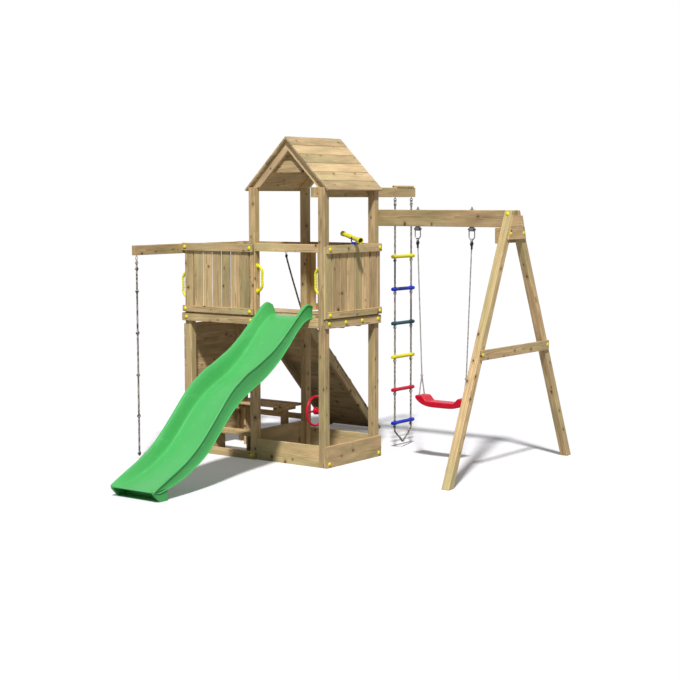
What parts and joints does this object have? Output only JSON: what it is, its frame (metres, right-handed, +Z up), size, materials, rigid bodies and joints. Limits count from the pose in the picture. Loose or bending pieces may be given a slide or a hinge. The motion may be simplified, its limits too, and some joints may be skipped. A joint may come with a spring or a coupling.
{
  "type": "climbing playset",
  "caption": "Timber play tower with gable roof, slide, climbing wall and ramp, knotted rope, rope ladder, picnic table, sandbox and a swing hung from a beam on an A-frame.",
  "frame": {"origin": "middle of the front right tower post's foot, on the ground", "axes": "+X along the front from the climbing wall towards the swing, +Y to the back, away from the slide, +Z up"},
  "size_m": [3.096, 4.0609, 2.869],
  "materials": {
    "timber": "sawn, oiled",
    "roof_timber": "sawn, pale",
    "green_plastic": "smooth, slightly worn",
    "yellow_plastic": "smooth",
    "red_plastic": "smooth",
    "blue_plastic": "smooth",
    "teal_plastic": "smooth",
    "zinc_steel": "zinc plated",
    "grey_rope": "laid synthetic rope",
    "pale_rope": "laid synthetic rope"
  },
  "bodies": {
    "play_frame": {"post_front_right": "timber", "post_front_middle": "timber", "post_front_left": "timber", "post_back_right": "timber", "post_back_middle": "timber", "post_back_left": "timber", "deck_frame": "timber", "deck_floor": "timber", "railing_front": "timber", "railing_right": "timber", "railing_back": "timber", "entry_bar_back": "timber", "slide_beam": "timber", "collar_tie_front": "timber", "collar_tie_back": "timber", "rope_beam": "timber", "ladder_beam": "timber", "climbing_wall": "timber", "climbing_ramp": "timber", "sandbox_board_front": "timber", "sandbox_boards_outer": "timber", "sandbox_board_middle": "timber", "base_rail_front": "timber", "stretcher_back": "timber", "picnic_table": "timber", "picnic_bench": "timber", "swing_beam": "timber", "swing_leg_front": "timber", "swing_leg_back": "timber", "frame_plate_outer": "timber", "frame_plate_inner": "timber", "cross_bar": "timber", "roof_left": "roof_timber", "roof_right": "roof_timber", "slide": "green_plastic", "handgrip_left": "yellow_plastic", "handgrip_middle": "yellow_plastic", "handgrip_right": "yellow_plastic", "steering_wheel_boss": "red_plastic", "telescope_base": "blue_plastic", "ladder_hanger": "zinc_steel", "swing_hanger_left": "zinc_steel", "swing_hanger_right": "zinc_steel", "climbing_rope": "grey_rope", "ramp_rope": "grey_rope"},
    "swing": {"swing_rope_left": "pale_rope", "swing_rope_right": "pale_rope", "swing_seat": "red_plastic"},
    "rope_ladder": {"ladder_rope_front": "grey_rope", "ladder_rope_back": "grey_rope", "ladder_tie": "grey_rope", "ladder_rung_1": "yellow_plastic", "ladder_rung_2": "blue_plastic", "ladder_rung_3": "teal_plastic", "ladder_rung_4": "yellow_plastic", "ladder_rung_5": "red_plastic", "ladder_rung_6": "blue_plastic"},
    "steering_wheel": {"steering_wheel": "red_plastic"},
    "telescope_mount": {"telescope_yoke": "blue_plastic"},
    "telescope": {"telescope_tube": "yellow_plastic"}
  },
  "joints": [
    {"name": "swing_hinge", "type": "hinge", "parent": "play_frame", "child": "swing", "pos_m": [0.711, 0.8059, 2.0624], "axis": [1, 0, 0], "range_deg": [-45, 45]},
    {"name": "ladder_hinge", "type": "hinge", "parent": "play_frame", "child": "rope_ladder", "pos_m": [-0.058, 1.295, 2.316], "axis": [0, 1, 0], "range_deg": [-10, 15]},
    {"name": "steering_turn", "type": "hinge", "parent": "play_frame", "child": "steering_wheel", "pos_m": [-0.0906, 0, 0.49], "axis": [1, 0, 0], "continuous": true},
    {"name": "telescope_pan", "type": "hinge", "parent": "play_frame", "child": "telescope_mount", "pos_m": [0.0607, 0.36, 1.985], "axis": [0, 0, 1], "range_deg": [-30, 60]},
    {"name": "telescope_tilt", "type": "hinge", "parent": "telescope_mount", "child": "telescope", "pos_m": [0.0607, 0.36, 1.985], "axis": [0.454, 0.891, 0], "range_deg": [-20, 12]}
  ]
}
